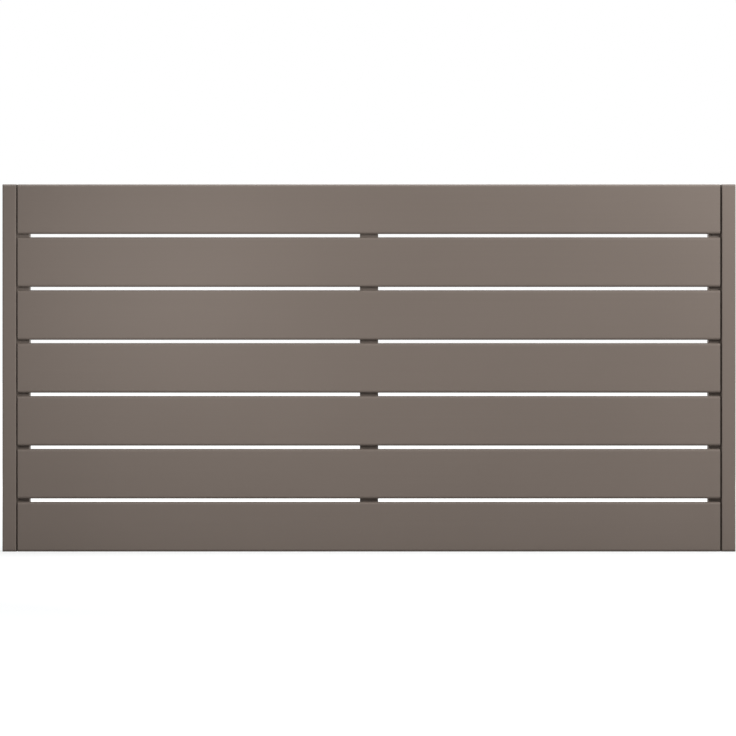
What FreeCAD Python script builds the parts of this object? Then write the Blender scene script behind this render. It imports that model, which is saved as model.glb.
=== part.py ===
"""Slatted garden privacy screen: hollow slats between two side channels, on three vertical supports.

Millimetres, Z up. X runs along the slats, the front faces -Y, and the origin is the middle of the base.
"""

import FreeCAD, Part
import math
import os

from FreeCAD import Vector

# ---------------------------------------------------------------- driving sizes

# The panel
panel_width = 1800.0
slat_count = 7
slat_gap = 8.0

# Slats: hollow extrusions with ribs inside
slat_height = 122.0
slat_thickness = 15.0
slat_wall = 1.5
slat_edge_radius = 6.5
slat_rib_count = 2
slat_rib_thickness = 1.2
slat_end_gap = 4.0  # between a slat's end and the side channel

# Side channels: a face, a web and a rear flange, and a return behind the face's inner edge
channel_face = 34.0
channel_flange = 30.0
channel_proud = 1.0  # from a slat's face to the face of the side channel
channel_wall = 2.0
channel_edge_radius = 4.0
channel_lip_radius = 3.0
channel_return_clearance = 0.4  # between the return and the front of the support
channel_flange_radius = 0.9

# Vertical supports: C profiles that open to the rear
support_width = 45.0
support_depth = 24.0
support_wall = 2.0
support_edge_radius = 3.0
support_lip = 12.5

# Clip-in covers over the mouths of the supports
cover_thickness = 1.5
cover_overlap = 1.5
cover_edge_radius = 0.7
cover_flange_gap = 0.4  # between a side support's cover and the rear flange of the side channel
cover_leg_thickness = 1.4
cover_leg_clearance = 0.3
cover_hook_reach = 1.0
cover_hook_height = 1.6
cover_hook_clearance = 0.2

# Plugs in the ends of the supports
support_plug_plate = 2.5
support_plug_wall = 1.8
support_plug_clearance = 0.2
support_plug_screw_gap = 3.0  # between a plug's spigot and the head of the nearest slat screw
support_plug_edge_radius = 0.8

# Caps on the ends of the side channels
channel_cap_rim = 6.0
channel_cap_plate = 2.5
channel_cap_skirt = 14.0
channel_cap_wall = 1.8
channel_cap_clearance = 0.4
channel_cap_edge_radius = 6.0
channel_cap_corner_radius = 2.0

# Screws that hold the slats, from behind, through the front web of each support
slat_screw_diameter = 4.8
slat_screw_length = 13.0
slat_screw_head_diameter = 9.0
slat_screw_head_height = 3.0
slat_screw_head_radius = 1.2
slat_screw_edge_distance = 20.0  # from the upper or lower edge of a slat
slat_screw_end_distance = 8.5  # from the end of a slat, at the side supports

# Countersunk screws that hold the rear flange of each side channel to its support
flange_screw_diameter = 4.2
flange_screw_length = 13.0
flange_screw_head_diameter = 8.0
flange_screw_count = 5
flange_screw_end_distance = 61.0

# Both kinds of screw
screw_hole_clearance = 0.4
screw_point_length = 2.5
screw_recess_width = 1.1
screw_recess_depth = 1.2
screw_recess_margin = 1.8

# Holes in the webs of the side channels, for the fixings into the posts
post_hole_diameter = 8.5
post_hole_count = 4
post_hole_end_distance = 91.0

# ---------------------------------------------------------------- sizes that follow

slat_pitch = slat_height + slat_gap
panel_height = slat_count * slat_height + (slat_count - 1) * slat_gap
panel_depth = channel_proud + slat_thickness + support_depth + channel_wall

front_y = -panel_depth / 2
rear_y = panel_depth / 2
lip_back_y = front_y + channel_wall
slat_front_y = front_y + channel_proud
slat_rear_y = slat_front_y + slat_thickness
return_end_y = slat_rear_y - channel_return_clearance
support_web_back_y = slat_rear_y + support_wall
support_rear_y = slat_rear_y + support_depth
support_lip_front_y = support_rear_y - support_wall
flange_front_y = rear_y - channel_wall
hook_back_y = support_lip_front_y - cover_hook_clearance
hook_front_y = hook_back_y - cover_hook_height

support_mouth = support_width - 2 * support_lip
half_width = panel_width / 2
web_inner_x = half_width - channel_wall
lip_edge_x = half_width - channel_face
return_inner_x = lip_edge_x + channel_wall
slat_end_x = lip_edge_x - slat_end_gap
side_screw_x = slat_end_x - slat_screw_end_distance
flange_edge_x = half_width - channel_flange
cover_half_width = support_mouth / 2 + cover_overlap
side_support_x = flange_edge_x - cover_flange_gap - cover_half_width
side_support_outer_x = side_support_x + support_width / 2
flange_screw_x = (flange_edge_x + side_support_outer_x) / 2
flange_screw_head_height = (flange_screw_head_diameter - flange_screw_diameter) / 2

flange_edge_radius = min(channel_flange_radius, channel_wall / 2)
cap_edge_radius = min(channel_cap_edge_radius, channel_cap_rim)
cap_corner_radius = min(channel_cap_corner_radius, channel_cap_rim)
channel_inner_radius = max(channel_edge_radius - channel_wall, 0)
lip_inner_radius = max(channel_lip_radius - channel_wall, 0)
support_inner_radius = max(support_edge_radius - support_wall, 0)
slat_inner_radius = max(slat_edge_radius - slat_wall, 0)

X_AXIS = Vector(1, 0, 0)
Y_AXIS = Vector(0, 1, 0)
Z_AXIS = Vector(0, 0, 1)
SIDE_SIGNS = {"left": -1, "right": 1}
SUPPORT_PLACES = {"left": -side_support_x, "centre": 0.0, "right": side_support_x}
SLAT_SCREW_PLACES = {"left": -side_screw_x, "centre": 0.0, "right": side_screw_x}


# ---------------------------------------------------------------- helpers


def rounded_face(corners):
    """A flat face from (point, radius) pairs in order, each corner rounded by a tangent arc."""
    arcs = []
    starts = []
    ends = []
    for i, (corner, radius) in enumerate(corners):
        to_last = (corners[i - 1][0] - corner).normalize()
        to_next = (corners[(i + 1) % len(corners)][0] - corner).normalize()
        half_angle = to_last.getAngle(to_next) / 2
        reach = radius / math.tan(half_angle)
        start = corner + to_last * reach
        end = corner + to_next * reach
        inward = (to_last + to_next).normalize()
        middle = corner + inward * (radius / math.sin(half_angle) - radius)
        arcs.append(Part.Arc(start, middle, end).toShape() if radius > 0 else None)
        starts.append(start)
        ends.append(end)
    edges = []
    for arc, end, next_start in zip(arcs, ends, starts[1:] + starts[:1]):
        if arc:
            edges.append(arc)
        if end.distanceToPoint(next_start) > Part.Precision.confusion():
            edges.append(Part.LineSegment(end, next_start).toShape())
    return Part.Face(Part.Wire(edges))


def upright(outline, bottom, top):
    """A bar along Z: an outline of (x, y, corner radius), drawn up from one height to another."""
    face = rounded_face([(Vector(x, y, bottom), radius) for x, y, radius in outline])
    return face.extrude(Z_AXIS * (top - bottom))


def crosswise(outline, left, right):
    """A bar along X: an outline of (y, z, corner radius), drawn from left to right."""
    face = rounded_face([(Vector(left, y, z), radius) for y, z, radius in outline])
    return face.extrude(X_AXIS * (right - left))


def depthwise(outline, front, rear):
    """A bar along Y: an outline of (x, z, corner radius), drawn from front to rear."""
    face = rounded_face([(Vector(x, front, z), radius) for x, z, radius in outline])
    return face.extrude(Y_AXIS * (rear - front))


def turned(x, z, outline):
    """A piece turned about a line along Y: an outline of (radius, y, corner radius)."""
    face = rounded_face([(Vector(x + reach, y, z), radius) for reach, y, radius in outline])
    return face.revolve(Vector(x, 0, z), Y_AXIS, 360)


def box(x_low, x_high, y_low, y_high, z_low, z_high):
    """A plain block between two values on each axis."""
    size = (x_high - x_low, y_high - y_low, z_high - z_low)
    return Part.makeBox(*size, Vector(x_low, y_low, z_low))


def bore(x, y_low, y_high, z, diameter):
    """The tool for a round hole along Y."""
    return Part.makeCylinder(diameter / 2, y_high - y_low, Vector(x, y_low, z), Y_AXIS)


def spread(count, low, high):
    """Evenly spaced places from low to high, both included."""
    if count == 1:
        return [(low + high) / 2]
    return [low + (high - low) * i / (count - 1) for i in range(count)]


def other_side(shape):
    """A piece of the right side, turned into the left one."""
    return shape.mirror(Vector(0, 0, 0), X_AXIS)


def other_end(shape):
    """A piece of the lower end, turned into the upper one."""
    return shape.mirror(Vector(0, 0, panel_height / 2), Z_AXIS)


# ---------------------------------------------------------------- where the screws go


def slat_screw_heights(index):
    """The heights of the two screws of one slat, counted from 0 at the bottom."""
    low = index * slat_pitch
    return [low + slat_screw_edge_distance, low + slat_height - slat_screw_edge_distance]


all_slat_screw_heights = [z for index in range(slat_count) for z in slat_screw_heights(index)]
flange_screw_heights = spread(
    flange_screw_count, flange_screw_end_distance, panel_height - flange_screw_end_distance
)
post_hole_heights = spread(
    post_hole_count, post_hole_end_distance, panel_height - post_hole_end_distance
)
lowest_screw_head_z = all_slat_screw_heights[0] - slat_screw_head_diameter / 2


# ---------------------------------------------------------------- slats


def slat_outline(index, inset, radius):
    """The section of a slat, or of its hollow, as (y, z, corner radius)."""
    low = index * slat_pitch + inset
    high = index * slat_pitch + slat_height - inset
    front = slat_front_y + inset
    rear = slat_rear_y - inset
    return [(front, low, radius), (rear, low, radius), (rear, high, radius), (front, high, radius)]


def slat(index):
    """A hollow slat with rounded long edges, ribs inside, and screw holes in its rear wall."""
    body = crosswise(slat_outline(index, 0, slat_edge_radius), -slat_end_x, slat_end_x)
    hollow = crosswise(slat_outline(index, slat_wall, slat_inner_radius), -slat_end_x, slat_end_x)
    low = index * slat_pitch
    for z in spread(slat_rib_count + 2, low, low + slat_height)[1:-1]:
        half = slat_rib_thickness / 2
        rib = box(-slat_end_x, slat_end_x, slat_front_y, slat_rear_y, z - half, z + half)
        hollow = hollow.cut(rib)
    holes = [
        bore(x, slat_rear_y - slat_wall, slat_rear_y, z, slat_screw_diameter)
        for x in SLAT_SCREW_PLACES.values()
        for z in slat_screw_heights(index)
    ]
    return body.cut([hollow] + holes)


# ---------------------------------------------------------------- side channels and their caps


def channel_outline():
    """The section of the right side channel: its face and return, its web and its rear flange."""
    return [
        (lip_edge_x, front_y, channel_lip_radius),
        (half_width, front_y, channel_edge_radius),
        (half_width, rear_y, channel_edge_radius),
        (flange_edge_x, rear_y, flange_edge_radius),
        (flange_edge_x, flange_front_y, flange_edge_radius),
        (web_inner_x, flange_front_y, channel_inner_radius),
        (web_inner_x, lip_back_y, channel_inner_radius),
        (return_inner_x, lip_back_y, lip_inner_radius),
        (return_inner_x, return_end_y, 0),
        (lip_edge_x, return_end_y, 0),
    ]


def flange_screw_head(x, z):
    """The countersunk head of a flange screw, as the tool for its seat."""
    small = flange_screw_diameter / 2
    large = flange_screw_head_diameter / 2
    base = Vector(x, rear_y - flange_screw_head_height, z)
    return Part.makeCone(small, large, flange_screw_head_height, base, Y_AXIS)


def side_channel():
    """The right side channel, between its two caps, with holes for the flange and post fixings."""
    body = upright(channel_outline(), channel_cap_rim, panel_height - channel_cap_rim)
    clearance_hole = flange_screw_diameter + screw_hole_clearance
    tools = []
    for z in flange_screw_heights:
        tools.append(bore(flange_screw_x, flange_front_y, rear_y, z, clearance_hole))
        tools.append(flange_screw_head(flange_screw_x, z))
    for z in post_hole_heights:
        start = Vector(web_inner_x, 0, z)
        tools.append(Part.makeCylinder(post_hole_diameter / 2, channel_wall, start, X_AXIS))
    return body.cut(tools)


def channel_cap():
    """The cap on the lower end of the right side channel.

    Its rim has the channel's section. A plate closes the hollow in front of the support and
    beside it, and a hollow skirt is pressed into the channel.
    """
    before_support = slat_rear_y - channel_cap_clearance
    beside_support = side_support_outer_x + channel_cap_clearance
    rim = upright(channel_outline(), 0, channel_cap_rim)
    plate = upright(
        [
            (web_inner_x, lip_back_y, channel_inner_radius),
            (web_inner_x, flange_front_y, channel_inner_radius),
            (beside_support, flange_front_y, 0),
            (beside_support, before_support, 0),
            (return_inner_x, before_support, 0),
            (return_inner_x, lip_back_y, lip_inner_radius),
        ],
        0,
        channel_cap_plate,
    )
    skirt_top = channel_cap_rim + channel_cap_skirt
    skirt = upright(
        [
            (web_inner_x, lip_back_y, channel_inner_radius),
            (web_inner_x, flange_front_y, channel_inner_radius),
            (beside_support, flange_front_y, 0),
            (beside_support, lip_back_y, 0),
        ],
        0,
        skirt_top,
    )
    hollow = box(
        beside_support + channel_cap_wall,
        web_inner_x - channel_cap_wall,
        lip_back_y + channel_cap_wall,
        flange_front_y - channel_cap_wall,
        channel_cap_plate,
        skirt_top,
    )
    # Two bars round the end: one its front and rear edges, the other its outer corner.
    along = crosswise(
        [
            (front_y, 0, cap_edge_radius),
            (rear_y, 0, cap_edge_radius),
            (rear_y, skirt_top, 0),
            (front_y, skirt_top, 0),
        ],
        lip_edge_x,
        half_width,
    )
    through = depthwise(
        [
            (lip_edge_x, 0, 0),
            (half_width, 0, cap_corner_radius),
            (half_width, skirt_top, 0),
            (lip_edge_x, skirt_top, 0),
        ],
        front_y,
        rear_y,
    )
    body = rim.fuse([plate, skirt]).removeSplitter().cut(hollow)
    return body.common(along).common(through)


# ---------------------------------------------------------------- supports, covers and plugs


def support_base(x, slat_screw_x, flange_side):
    """A support: a C profile, web against the slats and mouth to the rear.

    flange_side is -1 or 1 where a side channel's flange is screwed to one of its lips, or else 0.
    """
    outer = support_width / 2
    mouth = support_mouth / 2
    inner = outer - support_wall
    half = [
        (outer, slat_rear_y, support_edge_radius),
        (outer, support_rear_y, support_edge_radius),
        (mouth, support_rear_y, 0),
        (mouth, support_lip_front_y, 0),
        (inner, support_lip_front_y, support_inner_radius),
        (inner, support_web_back_y, support_inner_radius),
    ]
    body = upright(both_halves(x, half), support_plug_plate, panel_height - support_plug_plate)
    clearance_hole = slat_screw_diameter + screw_hole_clearance
    tools = [
        bore(slat_screw_x, slat_rear_y, support_web_back_y, z, clearance_hole)
        for z in all_slat_screw_heights
    ]
    if flange_side:
        screw_x = flange_side * flange_screw_x
        for z in flange_screw_heights:
            tools.append(
                bore(screw_x, support_lip_front_y, support_rear_y, z, flange_screw_diameter)
            )
            tools.append(flange_screw_head(screw_x, z))
    return body.cut(tools)


def both_halves(x, half):
    """A whole outline about x from its right half, given as (distance from x, y, corner radius)."""
    right = [(x + across, y, radius) for across, y, radius in half]
    left = [(x - across, y, radius) for across, y, radius in reversed(half)]
    return right + left


def support_cover(x):
    """A cover that clips into the mouth of a support, on two legs that hook behind its lips."""
    back = support_rear_y + cover_thickness
    leg_outer = support_mouth / 2 - cover_leg_clearance
    leg_inner = leg_outer - cover_leg_thickness
    hook_outer = support_mouth / 2 + cover_hook_reach
    half = [
        (cover_half_width, back, cover_edge_radius),
        (cover_half_width, support_rear_y, 0),
        (leg_outer, support_rear_y, 0),
        (leg_outer, hook_back_y, 0),
        (hook_outer, hook_back_y, 0),
        (leg_outer, hook_front_y, 0),
        (leg_inner, hook_front_y, 0),
        (leg_inner, support_rear_y, 0),
    ]
    return upright(both_halves(x, half), support_plug_plate, panel_height - support_plug_plate)


def support_plug(x):
    """The plug in the lower end of a support: a plate over its end and a hollow spigot inside it."""
    outer = support_width / 2
    plate_half = [
        (outer, slat_rear_y, support_edge_radius),
        (outer, support_rear_y, support_edge_radius),
    ]
    plate = upright(both_halves(x, plate_half), 0, support_plug_plate)
    rim = [edge for edge in plate.Edges if edge.BoundBox.ZMax < support_plug_plate / 2]
    plate = plate.makeFillet(min(support_plug_edge_radius, support_plug_plate / 2), rim)
    spigot_half = outer - support_wall - support_plug_clearance
    spigot_front = support_web_back_y + support_plug_clearance
    spigot_rear = hook_front_y - support_plug_clearance
    spigot_top = lowest_screw_head_z - support_plug_screw_gap
    spigot = upright(
        both_halves(
            x,
            [
                (spigot_half, spigot_front, support_inner_radius),
                (spigot_half, spigot_rear, support_inner_radius),
            ],
        ),
        support_plug_plate,
        spigot_top,
    )
    hollow = box(
        x - spigot_half + support_plug_wall,
        x + spigot_half - support_plug_wall,
        spigot_front + support_plug_wall,
        spigot_rear - support_plug_wall,
        support_plug_plate,
        spigot_top,
    )
    return plate.fuse(spigot.cut(hollow)).removeSplitter()


# ---------------------------------------------------------------- screws


def cross_recess(x, z, top_y, head_diameter):
    """The tool for the cross recess in the head of a screw whose point faces forwards."""
    reach = head_diameter / 2 - screw_recess_margin
    half = screw_recess_width / 2
    floor_y = top_y - screw_recess_depth
    level = box(x - reach, x + reach, floor_y, top_y, z - half, z + half)
    upright_bar = box(x - half, x + half, floor_y, top_y, z - reach, z + reach)
    return level.fuse(upright_bar)


def slat_screw(x, z):
    """A pan-head screw, driven forwards through the web of a support into a slat."""
    shank = slat_screw_diameter / 2
    head = slat_screw_head_diameter / 2
    seat_y = support_web_back_y
    top_y = seat_y + slat_screw_head_height
    tip_y = seat_y - slat_screw_length
    outline = [
        (0, top_y, 0),
        (0, tip_y, 0),
        (shank, tip_y + screw_point_length, 0),
        (shank, seat_y, 0),
        (head, seat_y, 0),
        (head, top_y, min(slat_screw_head_radius, slat_screw_head_height / 2)),
    ]
    return turned(x, z, outline).cut(cross_recess(x, z, top_y, slat_screw_head_diameter))


def flange_screw(z):
    """A countersunk screw, flush with the rear flange of the right side channel."""
    shank = flange_screw_diameter / 2
    tip_y = rear_y - flange_screw_length
    outline = [
        (0, rear_y, 0),
        (0, tip_y, 0),
        (shank, tip_y + screw_point_length, 0),
        (shank, rear_y - flange_screw_head_height, 0),
        (flange_screw_head_diameter / 2, rear_y, 0),
    ]
    body = turned(flange_screw_x, z, outline)
    return body.cut(cross_recess(flange_screw_x, z, rear_y, flange_screw_head_diameter))


# ---------------------------------------------------------------- the assembly


def assembly():
    """Every piece of the screen by its name."""
    pieces = {}
    for index in range(slat_count):
        pieces[f"slat_{index + 1}"] = slat(index)
    right_hand = {
        "side_channel": side_channel(),
        "channel_bottom_cap": channel_cap(),
        "channel_top_cap": other_end(channel_cap()),
        "channel_screws": Part.makeCompound([flange_screw(z) for z in flange_screw_heights]),
    }
    for side, sign in SIDE_SIGNS.items():
        for name, shape in right_hand.items():
            pieces[f"{side}_{name}"] = shape if sign > 0 else other_side(shape)
    for place, x in SUPPORT_PLACES.items():
        screw_x = SLAT_SCREW_PLACES[place]
        pieces[f"{place}_support"] = support_base(x, screw_x, SIDE_SIGNS.get(place, 0))
        pieces[f"{place}_support_cover"] = support_cover(x)
        pieces[f"{place}_support_bottom_plug"] = support_plug(x)
        pieces[f"{place}_support_top_plug"] = other_end(support_plug(x))
        pieces[f"{place}_slat_screws"] = Part.makeCompound(
            [slat_screw(screw_x, z) for z in all_slat_screw_heights]
        )
    return pieces


os.makedirs("parts", exist_ok=True)
for name, shape in assembly().items():
    shape.exportStep(f"parts/{name}.step")
    extent = shape.BoundBox
    print(
        f"{name}: {len(shape.Solids)} solid(s), valid {shape.isValid()},"
        f" {extent.XLength:.1f} x {extent.YLength:.1f} x {extent.ZLength:.1f} mm"
    )
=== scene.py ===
# %% [markdown]
# # A slatted aluminium privacy screen
#
# Seven hollow slats run between two side channels, and three upright supports hold them from
# behind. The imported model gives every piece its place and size. This lesson gives the long
# profiles finer meshes, a powder coat and the light of a plain studio.

# %% Load the frame
import math

import bmesh
import bpy
from mathutils import Matrix, Vector


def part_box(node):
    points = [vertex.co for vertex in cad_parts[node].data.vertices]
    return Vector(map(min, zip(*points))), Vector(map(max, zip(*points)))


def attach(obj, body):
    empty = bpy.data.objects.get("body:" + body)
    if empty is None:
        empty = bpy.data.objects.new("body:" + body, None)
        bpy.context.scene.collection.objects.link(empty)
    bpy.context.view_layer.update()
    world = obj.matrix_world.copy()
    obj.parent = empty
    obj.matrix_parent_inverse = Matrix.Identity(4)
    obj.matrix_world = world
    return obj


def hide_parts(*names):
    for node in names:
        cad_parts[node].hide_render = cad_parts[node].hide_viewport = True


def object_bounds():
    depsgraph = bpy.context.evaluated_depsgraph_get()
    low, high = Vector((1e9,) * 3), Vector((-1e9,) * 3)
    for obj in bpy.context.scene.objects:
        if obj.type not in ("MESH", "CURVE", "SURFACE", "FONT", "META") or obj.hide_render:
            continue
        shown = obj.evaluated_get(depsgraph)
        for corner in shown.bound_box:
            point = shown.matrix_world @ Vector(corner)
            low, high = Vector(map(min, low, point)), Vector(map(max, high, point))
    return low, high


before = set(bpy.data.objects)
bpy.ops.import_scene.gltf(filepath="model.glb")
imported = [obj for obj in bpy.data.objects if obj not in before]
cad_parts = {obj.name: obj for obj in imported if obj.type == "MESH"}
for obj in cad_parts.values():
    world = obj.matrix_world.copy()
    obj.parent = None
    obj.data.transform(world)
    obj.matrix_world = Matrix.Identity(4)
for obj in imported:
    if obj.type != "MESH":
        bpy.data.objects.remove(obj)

scene = bpy.context.scene
model_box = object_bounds()
panel_low, panel_high = model_box
panel_size = panel_high - panel_low
print("panel:", [round(length, 4) for length in panel_size], "m, pieces:", len(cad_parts))

# %% [markdown]
# ## Shader sums in plain Python
#
# A finish is a small sum: a share of slow drift, plus a share of fine lines, minus a constant.
# Wiring Math nodes by hand hides that sum, so one small class wraps a socket and lets Python's
# own operators add the nodes. Everything that isn't a sum comes from its one method, add.

# %% A socket that can be reckoned with
class Wire:
    """A socket of a node tree. Sums on it add Math nodes."""

    def __init__(self, tree, socket=None):
        self.tree = tree
        self.socket = socket

    def add(self, kind, settings=None, sockets=None, output=0):
        """A new node, its settings made first, then its sockets set or linked."""
        node = self.tree.nodes.new("ShaderNode" + kind)
        for name, value in (settings or {}).items():
            setattr(node, name, value)
        for name, value in (sockets or {}).items():
            if isinstance(value, Wire):
                self.tree.links.new(value.socket, node.inputs[name])
            else:
                node.inputs[name].default_value = value
        return Wire(self.tree, node.outputs[output])

    def sum(self, operation, first, second):
        """A Math node on two values."""
        return self.add("Math", {"operation": operation}, {0: first, 1: second})

    def __add__(self, other):
        return self.sum("ADD", self, other)

    def __radd__(self, other):
        return self.sum("ADD", other, self)

    def __sub__(self, other):
        return self.sum("SUBTRACT", self, other)

    def __rsub__(self, other):
        return self.sum("SUBTRACT", other, self)

    def __mul__(self, other):
        return self.sum("MULTIPLY", self, other)

    def __rmul__(self, other):
        return self.sum("MULTIPLY", other, self)


def new_material(name):
    """A material with an empty tree and its output, as (material, wire, output node)."""
    material = bpy.data.materials.new(name)
    material.use_nodes = True
    tree = material.node_tree
    tree.nodes.clear()
    return material, Wire(tree), tree.nodes.new("ShaderNodeOutputMaterial")


print("shader sums ready")

# %% [markdown]
# ## The powder coat
#
# Powder coat is paint that was baked as dust: a satin skin with a fine orange peel, the same
# warm grey on every profile. Three things keep it from looking like plain plastic. Its tone
# drifts a little over half a metre, the extrusion's die leaves faint lines along each profile,
# and the peel breaks up the highlights. All three are noise, read in Object coordinates, so the
# pattern stays put. The lines run along X on a slat and along Z on an upright, so the finish is
# made twice.

# %% Powder coat
COAT_DARK = (0.149, 0.120, 0.101, 1)
COAT_LIGHT = (0.177, 0.143, 0.1215, 1)
COAT_ROUGHNESS = 0.56
COAT_SPECULAR = 0.2
# The numbers of a Mix node's sockets when it mixes colours.
MIX_FACTOR, MIX_A, MIX_B, MIX_COLOUR = 0, 6, 7, 2
PLAIN_NOISE = 1.0
LAYERED_NOISE = 2.0
DRIFT_PER_METRE = 2.2
DRIFT_IN_TONE = 0.8
DRIFT_IN_ROUGHNESS = 0.06
LINES_PER_METRE = 420.0
LINE_STRETCH = 0.004
LINES_IN_TONE = 0.3
LINES_IN_ROUGHNESS = 0.04
LINES_IN_BUMP = 0.3
TONE_SHIFT = 0.05
PEEL_PER_METRE = 520.0
PEEL_STRENGTH = 0.35
PEEL_DEPTH = 0.00004


def noise(wire, place, scale, detail):
    """The value of a noise texture, from 0 to 1."""
    return wire.add("TexNoise", {}, {"Vector": place, "Scale": scale, "Detail": detail})


def powder_coat(name, lines_along):
    """The coat, with its die lines along one axis."""
    material, wire, output = new_material(name)
    place = wire.add("TexCoord", output="Object")
    stretch = Vector((1, 1, 1))
    stretch["XYZ".index(lines_along)] = LINE_STRETCH
    along = wire.add("Mapping", {}, {"Vector": place, "Scale": stretch})
    drift = noise(wire, place, DRIFT_PER_METRE, LAYERED_NOISE)
    lines = noise(wire, along, LINES_PER_METRE, LAYERED_NOISE)
    peel = noise(wire, place, PEEL_PER_METRE, PLAIN_NOISE)
    tone = drift * DRIFT_IN_TONE + lines * LINES_IN_TONE - TONE_SHIFT
    roughness = COAT_ROUGHNESS + drift * DRIFT_IN_ROUGHNESS + lines * LINES_IN_ROUGHNESS
    colour = wire.add(
        "Mix",
        {"data_type": "RGBA"},
        {MIX_FACTOR: tone, MIX_A: COAT_DARK, MIX_B: COAT_LIGHT},
        MIX_COLOUR,
    )
    bump = wire.add(
        "Bump",
        {},
        {
            "Height": peel + lines * LINES_IN_BUMP,
            "Strength": PEEL_STRENGTH,
            "Distance": PEEL_DEPTH,
        },
    )
    shader = wire.add(
        "BsdfPrincipled",
        {},
        {
            "Base Color": colour,
            "Roughness": roughness,
            "Specular IOR Level": COAT_SPECULAR,
            "Normal": bump,
        },
    )
    wire.tree.links.new(shader.socket, output.inputs["Surface"])
    return material


slat_coat = powder_coat("powder_coat_along_slat", "X")
upright_coat = powder_coat("powder_coat_along_upright", "Z")
print("finishes:", slat_coat.name, upright_coat.name)

# %% [markdown]
# ## Plastic and steel
#
# The caps and plugs are moulded in a plastic that is coloured to match the coat, but its skin is
# a dull, even stipple. The slat screws are plain stainless steel, turned on a lathe, and the
# countersunk ones have painted heads, because they show on the back.

# %% Moulded plastic and screw steel
PLASTIC_DARK = (0.138, 0.111, 0.094, 1)
PLASTIC_LIGHT = (0.160, 0.129, 0.110, 1)
PLASTIC_SPECULAR = 0.25
PLASTIC_ROUGHNESS = 0.58
CLOUD_PER_METRE = 60.0
STIPPLE_PER_METRE = 1400.0
STIPPLE_STRENGTH = 0.4
STIPPLE_DEPTH = 0.00004
STIPPLE_IN_ROUGHNESS = 0.12
STEEL_DARK = (0.42, 0.41, 0.39, 1)
STEEL_LIGHT = (0.60, 0.59, 0.57, 1)
STEEL_ROUGHNESS = 0.28
HEAD_ROUGHNESS = 0.38
WORN_NOISE = 3.0
WEAR_PER_METRE = 700.0
WEAR_IN_ROUGHNESS = 0.12
TURNING_PER_METRE = 2600.0
TURNING_STRENGTH = 0.2
TURNING_DEPTH = 0.00002


def moulded_plastic():
    """A matt, stippled plastic."""
    material, wire, output = new_material("moulded_plastic")
    place = wire.add("TexCoord", output="Object")
    cloud = noise(wire, place, CLOUD_PER_METRE, LAYERED_NOISE)
    stipple = noise(wire, place, STIPPLE_PER_METRE, PLAIN_NOISE)
    colour = wire.add(
        "Mix",
        {"data_type": "RGBA"},
        {MIX_FACTOR: cloud, MIX_A: PLASTIC_DARK, MIX_B: PLASTIC_LIGHT},
        MIX_COLOUR,
    )
    bump = wire.add(
        "Bump",
        {},
        {"Height": stipple, "Strength": STIPPLE_STRENGTH, "Distance": STIPPLE_DEPTH},
    )
    shader = wire.add(
        "BsdfPrincipled",
        {},
        {
            "Base Color": colour,
            "Roughness": PLASTIC_ROUGHNESS + stipple * STIPPLE_IN_ROUGHNESS,
            "Specular IOR Level": PLASTIC_SPECULAR,
            "Normal": bump,
        },
    )
    wire.tree.links.new(shader.socket, output.inputs["Surface"])
    return material


def screw_metal(name, dark, light, metallic, roughness):
    """A turned screw: spots of wear in its tone and roughness, and a fine grain."""
    material, wire, output = new_material(name)
    place = wire.add("TexCoord", output="Object")
    wear = noise(wire, place, WEAR_PER_METRE, WORN_NOISE)
    turning = noise(wire, place, TURNING_PER_METRE, PLAIN_NOISE)
    colour = wire.add(
        "Mix",
        {"data_type": "RGBA"},
        {MIX_FACTOR: wear, MIX_A: dark, MIX_B: light},
        MIX_COLOUR,
    )
    bump = wire.add(
        "Bump",
        {},
        {"Height": turning, "Strength": TURNING_STRENGTH, "Distance": TURNING_DEPTH},
    )
    shader = wire.add(
        "BsdfPrincipled",
        {},
        {
            "Base Color": colour,
            "Metallic": metallic,
            "Roughness": roughness + wear * WEAR_IN_ROUGHNESS,
            "Normal": bump,
        },
    )
    wire.tree.links.new(shader.socket, output.inputs["Surface"])
    return material


plastic = moulded_plastic()
screw_steel = screw_metal("screw_steel", STEEL_DARK, STEEL_LIGHT, 1.0, STEEL_ROUGHNESS)
painted_head = screw_metal("painted_head", COAT_DARK, COAT_LIGHT, 0.0, HEAD_ROUGHNESS)
print("finishes:", plastic.name, screw_steel.name, painted_head.name)

# %% [markdown]
# ## Pushing a profile through a die
#
# Slats, channels, supports and covers are all extrusions: aluminium is pushed through a steel
# die, and comes out with the same section all the way. They could be cut from blocks, but it is
# truer, and easier, to draw the flat section once, round its corners and extrude it. The
# section's corners are bevelled as vertices, which draws an arc in the flat face.

# %% Draw a section and push it
MM = 0.001
ARC_STEPS = 8


def outline_face(bm, outline, lift):
    """A flat face from (across, deep, corner radius); lift turns across and deep into a point."""
    corners = [(bm.verts.new(lift(across, deep)), radius) for across, deep, radius in outline]
    bm.faces.new([vertex for vertex, _ in corners])
    for radius in sorted({radius for _, radius in corners if radius > 0}):
        bmesh.ops.bevel(
            bm,
            geom=[vertex for vertex, own in corners if own == radius],
            offset=radius,
            offset_type="OFFSET",
            affect="VERTICES",
            segments=ARC_STEPS,
            profile=0.5,
            material=-1,
        )
    return bm.faces[:]


def push(bm, faces, way):
    """Extrudes flat faces and turns every face outwards."""
    made = bmesh.ops.extrude_face_region(bm, geom=faces)["geom"]
    ends = [item for item in made if isinstance(item, bmesh.types.BMVert)]
    bmesh.ops.translate(bm, verts=ends, vec=way)
    bmesh.ops.recalc_face_normals(bm, faces=bm.faces)


print("arcs are drawn in", ARC_STEPS, "steps")

# %% [markdown]
# ## Drilling
#
# Every hole in the panel is round, and goes through a thin wall. The drills for one piece are
# closed bars in one mesh, and a Boolean modifier takes them all out at once. The exact solver is
# slower than the fast one, but it copes with walls as thin as these. The evaluated mesh replaces
# the piece's own, so that no modifier is left that needs the drills.

# %% Drills
DRILL_SIDES = 32


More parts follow.
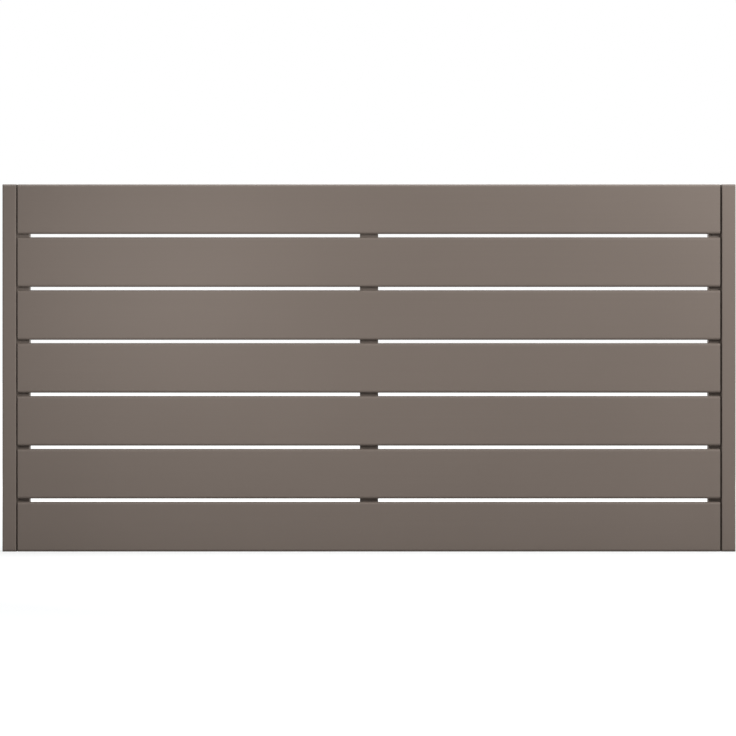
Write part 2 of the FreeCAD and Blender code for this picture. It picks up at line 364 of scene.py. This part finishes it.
def drill_bar(drills, start, way, length, radius, end_radius=None):
    """A round bar or cone from the middle of its first end along a unit way, as its faces."""
    turn = way.to_track_quat("Z", "Y").to_matrix().to_4x4()
    place = Matrix.Translation(start + way * (length / 2)) @ turn
    made = bmesh.ops.create_cone(
        drills,
        cap_ends=True,
        segments=DRILL_SIDES,
        radius1=radius,
        radius2=radius if end_radius is None else end_radius,
        depth=length,
        matrix=place,
    )
    return {face for vertex in made["verts"] for face in vertex.link_faces}


def drill_wall(drills, front, way, wall, radius):
    """A round bar through a wall, which sticks out by the wall's thickness on both sides."""
    drill_bar(drills, front - way * wall, way, 3 * wall, radius)


def drill(piece, drills):
    """Cuts the drills, a bmesh of closed bars, out of a piece."""
    mesh = bpy.data.meshes.new("drills")
    drills.to_mesh(mesh)
    drills.free()
    cutter = bpy.data.objects.new("drills", mesh)
    scene.collection.objects.link(cutter)
    cut = piece.modifiers.new("drilled", "BOOLEAN")
    cut.operation = "DIFFERENCE"
    cut.solver = "EXACT"
    cut.object = cutter
    bpy.context.view_layer.update()
    graph = bpy.context.evaluated_depsgraph_get()
    drilled = bpy.data.meshes.new_from_object(piece.evaluated_get(graph))
    piece.modifiers.clear()
    piece.data = drilled
    bpy.data.objects.remove(cutter)


print("drills have", DRILL_SIDES, "sides")

# %% [markdown]
# ## From a mesh to a piece
#
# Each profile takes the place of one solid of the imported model. Its arcs are shaded smooth, and
# edges that turn by more than 35 degrees stay crisp. Weighted normals let the large flat sides
# rule the shading, so that they look flat right up to their arcs.

# %% Pieces
SHARP_ANGLE = math.radians(35)
FACE_WEIGHT = 100


def new_piece(bm, name, material, slot, *nodes):
    """Makes a mesh the visible piece that stands for CAD nodes."""
    mesh = bpy.data.meshes.new(name)
    bm.to_mesh(mesh)
    bm.free()
    piece = bpy.data.objects.new(name, mesh)
    scene.collection.objects.link(piece)
    mesh.materials.append(material)
    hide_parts(*nodes)
    return piece


def finish_profile(piece):
    """Smooth arcs, flat sides and crisp edges, and the piece rides with the panel."""
    piece.data.shade_smooth()
    piece.data.set_sharp_from_angle(angle=SHARP_ANGLE)
    weights = piece.modifiers.new("even_shading", "WEIGHTED_NORMAL")
    weights.weight = FACE_WEIGHT
    weights.keep_sharp = True
    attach(piece, "root")


print("edges stay crisp above", round(math.degrees(SHARP_ANGLE)), "degrees")

# %% [markdown]
# ## The slats
#
# A slat is a flat hollow box with rounded long edges and two ribs inside. The section starts as
# one rounded rectangle. An inset by the wall's thickness leaves a ring and an inner face, two
# pairs of cuts mark the ribs on that inner face, and the three chambers between them are
# deleted. What is left is the metal, and one push makes the slat.

# %% Section of a slat
SLAT_WALL = 1.5 * MM
SLAT_EDGE = 6.5 * MM
RIB = 1.2 * MM
RIB_COUNT = 2

slat_names = sorted(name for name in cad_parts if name.startswith("slat_"))


def slat_section(bm, low, high):
    """The metal of a slat's section, as flat faces at its left end."""
    outline = [
        (low.y, low.z, SLAT_EDGE),
        (high.y, low.z, SLAT_EDGE),
        (high.y, high.z, SLAT_EDGE),
        (low.y, high.z, SLAT_EDGE),
    ]
    faces = outline_face(bm, outline, lambda deep, up: Vector((low.x, deep, up)))
    ring = bmesh.ops.inset_individual(
        bm, faces=faces, thickness=SLAT_WALL, use_even_offset=True
    )["faces"]
    for number in range(1, RIB_COUNT + 1):
        middle = low.z + (high.z - low.z) * number / (RIB_COUNT + 1)
        for side in (-RIB / 2, RIB / 2):
            inner = [face for face in bm.faces if face not in ring]
            edges = {edge for face in inner for edge in face.edges}
            corners = {corner for face in inner for corner in face.verts}
            bmesh.ops.bisect_plane(
                bm,
                geom=inner + list(edges) + list(corners),
                plane_co=(low.x, low.y, middle + side),
                plane_no=(0, 0, 1),
            )
    inner = [face for face in bm.faces if face not in ring]
    inner.sort(key=lambda face: face.calc_center_median().z)
    bmesh.ops.delete(bm, geom=inner[::2], context="FACES_ONLY")
    return bm.faces[:]


print("slats to make:", slat_names)

# %% [markdown]
# Each slat is held by two screws at each support, so its rear wall has six holes. Their columns
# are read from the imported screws, and their rows are counted from the slat's long edges.

# %% Slats
# A hole's size is its radius, here and below.
SCREW_HOLE = 2.4 * MM
SCREW_FROM_EDGE = 20.0 * MM
BACKWARDS = Vector((0, 1, 0))


def middle_x(node):
    """The middle of a node's box along the panel."""
    low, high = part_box(node)
    return (low.x + high.x) / 2


def screw_rows(node):
    """The heights of the two rows of screws behind a slat."""
    low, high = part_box(node)
    return low.z + SCREW_FROM_EDGE, high.z - SCREW_FROM_EDGE


screw_columns = {place: middle_x(f"{place}_slat_screws") for place in ("left", "centre", "right")}


def slat(node):
    """One slat with the screw holes in its back."""
    low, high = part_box(node)
    bm = bmesh.new()
    push(bm, slat_section(bm, low, high), Vector((high.x - low.x, 0, 0)))
    piece = new_piece(bm, f"{node}_coated", slat_coat, "coated_aluminium", node)
    drills = bmesh.new()
    for across in screw_columns.values():
        for up in screw_rows(node):
            front = Vector((across, high.y - SLAT_WALL, up))
            drill_wall(drills, front, BACKWARDS, SLAT_WALL, SCREW_HOLE)
    drill(piece, drills)
    finish_profile(piece)
    return piece


slats = [slat(node) for node in slat_names]
print("slats:", len(slats), "with", len(slats[0].data.polygons), "faces each")

# %% [markdown]
# ## The side channels
#
# A channel is a deep profile that frames one end of the panel: a face, an outer web, a rear
# flange and a return behind the face's inner edge. The slats stop a few millimetres short of the
# return, so that they can grow in the sun, and that narrow gap is the dark line down each side
# of the photo. The web is drilled for the fixings into the post, and the rear flange is
# countersunk for five screws. A countersink could be a bar and a cone, but two shapes that
# overlap in one cut leave stray faces. So its drill is one closed shape: a cone, whose small end
# is pushed on.

# %% Holes in a side channel
FLANGE_SCREW = 2.1 * MM
FLANGE_HEAD = 4.0 * MM
FLANGE_SCREW_COUNT = 5
FLANGE_SCREW_FROM_END = 61.0 * MM
HOLE_CLEARANCE = 0.2 * MM
SEAT_PROUD = 0.5 * MM


def spread(count, from_end):
    """Evenly spaced heights up the panel."""
    first = panel_low.z + from_end
    last = panel_high.z - from_end
    return [first + (last - first) * number / (count - 1) for number in range(count)]


def seat_drill(drills, tip):
    """A drill for a countersunk screw: a 45 degree cone from behind, pushed on to its tip."""
    bore = FLANGE_SCREW + HOLE_CLEARANCE
    start = Vector((tip.x, panel_high.y + SEAT_PROUD, tip.z))
    depth = FLANGE_HEAD + SEAT_PROUD - bore
    cone = drill_bar(drills, start, -BACKWARDS, depth, FLANGE_HEAD + SEAT_PROUD, bore)
    small_end = min(cone, key=lambda face: face.calc_center_median().y)
    push(drills, [small_end], tip - start + BACKWARDS * depth)
    bmesh.ops.delete(drills, geom=[small_end], context="FACES_ONLY")


flange_rows = spread(FLANGE_SCREW_COUNT, FLANGE_SCREW_FROM_END)
print("flange screws at:", [round(up, 4) for up in flange_rows])

# %% [markdown]
# The same outline serves left and right, because every place in it is counted from the outer
# side inwards.

# %% Side channels
CHANNEL_WALL = 2.0 * MM
CHANNEL_EDGE = 4.0 * MM
CHANNEL_LIP_EDGE = 3.0 * MM
CHANNEL_FLANGE = 30.0 * MM
RETURN_CLEARANCE = 0.4 * MM
FLANGE_EDGE = 0.9 * MM
POST_HOLE = 4.25 * MM
POST_HOLE_COUNT = 4
POST_HOLE_FROM_END = 91.0 * MM
INWARDS = {"left": Vector((1, 0, 0)), "right": Vector((-1, 0, 0))}

return_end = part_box(slat_names[0])[1].y - RETURN_CLEARANCE


def side_channel(side):
    """One side channel, drilled."""
    node = f"{side}_side_channel"
    low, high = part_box(node)
    inwards = INWARDS[side]
    outer = high.x if side == "right" else low.x
    lip = low.x if side == "right" else high.x
    web_inner = outer + inwards.x * CHANNEL_WALL
    return_inner = lip - inwards.x * CHANNEL_WALL
    flange_edge = outer + inwards.x * CHANNEL_FLANGE
    lip_back = low.y + CHANNEL_WALL
    flange_front = high.y - CHANNEL_WALL
    inner_edge = CHANNEL_EDGE - CHANNEL_WALL
    outline = [
        (lip, low.y, CHANNEL_LIP_EDGE),
        (outer, low.y, CHANNEL_EDGE),
        (outer, high.y, CHANNEL_EDGE),
        (flange_edge, high.y, FLANGE_EDGE),
        (flange_edge, flange_front, FLANGE_EDGE),
        (web_inner, flange_front, inner_edge),
        (web_inner, lip_back, inner_edge),
        (return_inner, lip_back, CHANNEL_LIP_EDGE - CHANNEL_WALL),
        (return_inner, return_end, 0),
        (lip, return_end, 0),
    ]
    bm = bmesh.new()
    section = outline_face(bm, outline, lambda across, deep: Vector((across, deep, low.z)))
    push(bm, section, Vector((0, 0, high.z - low.z)))
    piece = new_piece(bm, f"{node}_coated", upright_coat, "coated_aluminium", node)
    drills = bmesh.new()
    for up in spread(POST_HOLE_COUNT, POST_HOLE_FROM_END):
        drill_wall(drills, Vector((outer, 0, up)), inwards, CHANNEL_WALL, POST_HOLE)
    screw_x = middle_x(f"{side}_channel_screws")
    for up in flange_rows:
        seat_drill(drills, Vector((screw_x, flange_front - CHANNEL_WALL, up)))
    drill(piece, drills)
    finish_profile(piece)
    return piece


channels = [side_channel(side) for side in INWARDS]
print("side channels:", [channel.name for channel in channels])

# %% [markdown]
# ## The supports and their covers
#
# A support is a C whose web lies against the slats. The slat screws go in through its open
# mouth, and a thin cover on two hooked legs then closes that mouth. Both sections are the same
# on the left and the right, so half an outline is written and the other half is mirrored from
# it.

# %% Uprights from half an outline
def both_halves(middle, half):
    """A whole outline about a middle, from its right half."""
    right = [(middle + across, deep, radius) for across, deep, radius in half]
    left = [(middle - across, deep, radius) for across, deep, radius in reversed(half)]
    return right + left


def upright(node, half):
    """An upright profile that stands for a node, from half its outline."""
    low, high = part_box(node)
    bm = bmesh.new()
    outline = both_halves(middle_x(node), half)
    section = outline_face(bm, outline, lambda across, deep: Vector((across, deep, low.z)))
    push(bm, section, Vector((0, 0, high.z - low.z)))
    return new_piece(bm, f"{node}_coated", upright_coat, "coated_aluminium", node)


support_boxes = {place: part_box(f"{place}_support") for place in screw_columns}
print("supports start at:", [round(low.x, 4) for low, high in support_boxes.values()])

# %% [markdown]
# The web of a support has a hole for each slat screw. The two supports beside the channels are
# also drilled through a lip, where the flange screws bite.

# %% Supports
SUPPORT_WALL = 2.0 * MM
SUPPORT_EDGE = 3.0 * MM
SUPPORT_LIP = 12.5 * MM
SUPPORT_SCREW_HOLE = 2.6 * MM


def support(place):
    """One support, drilled for the slat screws and, beside a channel, for the flange screws."""
    low, high = support_boxes[place]
    outer = (high.x - low.x) / 2
    inner = outer - SUPPORT_WALL
    mouth = outer - SUPPORT_LIP
    lip_front = high.y - SUPPORT_WALL
    inner_edge = SUPPORT_EDGE - SUPPORT_WALL
    half = [
        (outer, low.y, SUPPORT_EDGE),
        (outer, high.y, SUPPORT_EDGE),
        (mouth, high.y, 0),
        (mouth, lip_front, 0),
        (inner, lip_front, inner_edge),
        (inner, low.y + SUPPORT_WALL, inner_edge),
    ]
    piece = upright(f"{place}_support", half)
    drills = bmesh.new()
    for node in slat_names:
        for up in screw_rows(node):
            front = Vector((screw_columns[place], low.y, up))
            drill_wall(drills, front, BACKWARDS, SUPPORT_WALL, SUPPORT_SCREW_HOLE)
    if place in INWARDS:
        screw_x = middle_x(f"{place}_channel_screws")
        for up in flange_rows:
            front = Vector((screw_x, lip_front, up))
            drill_wall(drills, front, BACKWARDS, SUPPORT_WALL, FLANGE_SCREW)
    drill(piece, drills)
    finish_profile(piece)
    return piece


supports = [support(place) for place in support_boxes]
print("supports:", len(supports))

# %% [markdown]
# A cover lies across the mouth. Its legs go in between the lips, and their hooks catch behind
# them.

# %% Covers
COVER_THICKNESS = 1.5 * MM
COVER_EDGE = 0.7 * MM
COVER_LEG = 1.4 * MM
COVER_LEG_CLEARANCE = 0.3 * MM
COVER_HOOK_REACH = 1.0 * MM
COVER_HOOK_HEIGHT = 1.6 * MM
COVER_HOOK_CLEARANCE = 0.2 * MM


def support_cover(place):
    """The cover over one support's mouth."""
    support_low, support_high = support_boxes[place]
    low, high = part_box(f"{place}_support_cover")
    mouth = (support_high.x - support_low.x) / 2 - SUPPORT_LIP
    leg_outer = mouth - COVER_LEG_CLEARANCE
    leg_inner = leg_outer - COVER_LEG
    seat_y = high.y - COVER_THICKNESS
    hook_back = seat_y - SUPPORT_WALL - COVER_HOOK_CLEARANCE
    hook_front = hook_back - COVER_HOOK_HEIGHT
    half = [
        ((high.x - low.x) / 2, high.y, COVER_EDGE),
        ((high.x - low.x) / 2, seat_y, 0),
        (leg_outer, seat_y, 0),
        (leg_outer, hook_back, 0),
        (mouth + COVER_HOOK_REACH, hook_back, 0),
        (leg_outer, hook_front, 0),
        (leg_inner, hook_front, 0),
        (leg_inner, seat_y, 0),
    ]
    piece = upright(f"{place}_support_cover", half)
    finish_profile(piece)
    return piece


covers = [support_cover(place) for place in support_boxes]
print("covers:", len(covers))

# %% [markdown]
# ## Caps, plugs and screws
#
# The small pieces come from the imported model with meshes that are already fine, so they keep
# their shapes and only take their finish. A dictionary from the end of a node's name to a
# material does it.

# %% Finishes of the small pieces
SMALL_FINISHES = {
    "_cap": plastic,
    "_plug": plastic,
    "_slat_screws": screw_steel,
    "_channel_screws": painted_head,
}
for name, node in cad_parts.items():
    for ending, material in SMALL_FINISHES.items():
        if name.endswith(ending):
            node.data.materials.clear()
            node.data.materials.append(material)
            print("finished:", name, "in", material.name)

# %% [markdown]
# ## Surroundings
#
# The photo is cut out on white. More light on the panel would bleach it before its surroundings
# turned white, so the world is white only to the eye and to reflections. To everything else it
# is a soft grey, which lights the coat gently.

# %% World
WORLD_GREY = (0.95, 0.97, 1.0, 1)
WORLD_LIGHT = 0.32
WHITE = (1, 1, 1, 1)


def seen_directly(wire):
    """1 for rays from the eye, a reflection or a clear material, or else 0."""
    path = wire.add("LightPath", output="Is Camera Ray")
    glossy = Wire(wire.tree, path.socket.node.outputs["Is Glossy Ray"])
    clear = Wire(wire.tree, path.socket.node.outputs["Is Transmission Ray"])
    return wire.sum("MAXIMUM", wire.sum("MAXIMUM", path, glossy), clear)


world = bpy.data.worlds.new("studio")
world.use_nodes = True
world.node_tree.nodes.clear()
scene.world = world
sky = Wire(world.node_tree)
sky_shader = sky.add(
    "MixShader",
    {},
    # 0 is the factor, 1 the shader that lights the panel and 2 the one that is seen.
    {
        0: seen_directly(sky),
        1: sky.add("Background", {}, {"Color": WORLD_GREY, "Strength": WORLD_LIGHT}),
        2: sky.add("Background", {}, {"Color": WHITE, "Strength": 1.0}),
    },
)
sky_output = world.node_tree.nodes.new("ShaderNodeOutputWorld")
world.node_tree.links.new(sky_shader.socket, sky_output.inputs["Surface"])
print("world:", world.name)

# %% [markdown]
# ## Floor
#
# The floor is a pale diffuse sheet with a glow of its own for the same rays. Near the panel the
# glow is weak enough for the panel's shadow to show, and further out it rises to full white.

# %% Floor
FLOOR_PALE = (0.34, 0.335, 0.33, 1)
FLOOR_HALF = 60.0
FLOOR_DROP = 0.1 * MM
GLOW_NEAR = 0.58
GLOW_FAR = 1.0
SHADOW_REACH = (0.8, 3.2)

floor_mesh = bpy.data.meshes.new("floor")
floor_bm = bmesh.new()
bmesh.ops.create_grid(
    floor_bm,
    x_segments=1,
    y_segments=1,
    size=FLOOR_HALF,
    matrix=Matrix.Translation((0, 0, panel_low.z - FLOOR_DROP)),
)
floor_bm.to_mesh(floor_mesh)
floor_bm.free()
floor = bpy.data.objects.new("floor", floor_mesh)
scene.collection.objects.link(floor)

floor_material, wire, output = new_material("floor_pale")
place = wire.add("TexCoord", output="Object")
away = wire.add("VectorMath", {"operation": "LENGTH"}, {0: place}, "Value")
glow = wire.add(
    "MapRange",
    {"interpolation_type": "SMOOTHSTEP"},
    {
        "Value": away,
        "From Min": SHADOW_REACH[0],
        "From Max": SHADOW_REACH[1],
        "To Min": GLOW_NEAR,
        "To Max": GLOW_FAR,
    },
)
emission = wire.add("Emission", {}, {"Color": WHITE, "Strength": glow * seen_directly(wire)})
diffuse = wire.add("BsdfDiffuse", {}, {"Color": FLOOR_PALE})
floor_shader = wire.add("AddShader", {}, {0: emission, 1: diffuse})
wire.tree.links.new(floor_shader.socket, output.inputs["Surface"])
floor_mesh.materials.append(floor_material)
print("floor:", 2 * FLOOR_HALF, "m wide")

# %% [markdown]
# ## Lamps
#
# The photo's panel is lightest at its upper right and darkest at its lower left, and its top
# edge has a light rim. So a soft lamp stands to the front right, above the panel, a weaker one
# stands close in front of the left half, and a long one hangs right above. A last one keeps the
# back from going dull in other views.

# %% Lamps
PLAIN_LIGHT = (1.0, 1.0, 1.0)
COOL_LIGHT = (0.90, 0.96, 1.0)
LAMPS = {
    # name: (place, width, height, watts, colour)
    "key": (Vector((1.62, -1.34, 1.41)), 0.6, 0.6, 30.4, PLAIN_LIGHT),
    "fill": (Vector((-0.64, -1.00, 0.77)), 0.4, 0.4, 6.5, PLAIN_LIGHT),
    "top": (Vector((0.0, 0.05, 2.9)), 3.0, 0.8, 80.0, COOL_LIGHT),
    "back": (Vector((0.3, 3.2, 1.9)), 2.4, 1.4, 80.0, PLAIN_LIGHT),
}
panel_middle = (panel_low + panel_high) / 2


def lamp(name, place, width, height, watts, colour):
    """A soft rectangular lamp that faces the middle of the panel."""
    light = bpy.data.lights.new(name, "AREA")
    light.shape = "RECTANGLE"
    light.size = width
    light.size_y = height
    light.energy = watts
    light.color = colour
    thing = bpy.data.objects.new(name, light)
    thing.location = place
    thing.rotation_euler = (panel_middle - place).to_track_quat("-Z", "Y").to_euler()
    thing.visible_camera = False
    scene.collection.objects.link(thing)
    return thing


lamps = [lamp(name, *facts) for name, facts in LAMPS.items()]
print("lamps:", [thing.name for thing in lamps])

# %% [markdown]
# ## Camera
#
# The photo looks straight at the panel. The panel's ends in it, in pixels, give the width of the
# view, and the side supports, seen behind the slats, sit a few millimetres nearer the middle than
# they are, which gives the distance. With those two the lens follows. The outline's middle row is
# 367.4 in the photo, but its gaps lie one pixel lower than an even panel's would, so the view is
# aimed halfway between the two.

# %% Camera
PHOTO_PIXELS = 736
PANEL_LEFT_PIXEL = 2.2
PANEL_RIGHT_PIXEL = 735.8
PANEL_MIDDLE_ROW = 367.9
CAMERA_DISTANCE = 5.3
SENSOR_WIDTH = 36.0
VIEW_REACH = 200.0

metres_per_pixel = panel_size.x / (PANEL_RIGHT_PIXEL - PANEL_LEFT_PIXEL)
view_width = metres_per_pixel * PHOTO_PIXELS
panel_middle_column = (PANEL_LEFT_PIXEL + PANEL_RIGHT_PIXEL) / 2
aim_x = panel_middle.x - (panel_middle_column - PHOTO_PIXELS / 2) * metres_per_pixel
aim_z = panel_middle.z + (PANEL_MIDDLE_ROW - PHOTO_PIXELS / 2) * metres_per_pixel

camera_data = bpy.data.cameras.new("camera")
camera_data.sensor_width = SENSOR_WIDTH
camera_data.lens = SENSOR_WIDTH * CAMERA_DISTANCE / view_width
camera_data.clip_end = VIEW_REACH
camera = bpy.data.objects.new("camera", camera_data)
camera.location = (aim_x, panel_low.y - CAMERA_DISTANCE, aim_z)
camera.rotation_euler = (math.radians(90), 0, 0)
scene.collection.objects.link(camera)
scene.camera = camera
scene.view_settings.view_transform = "Standard"
print("lens:", round(camera_data.lens, 1), "mm, view:", round(view_width, 4), "m wide")
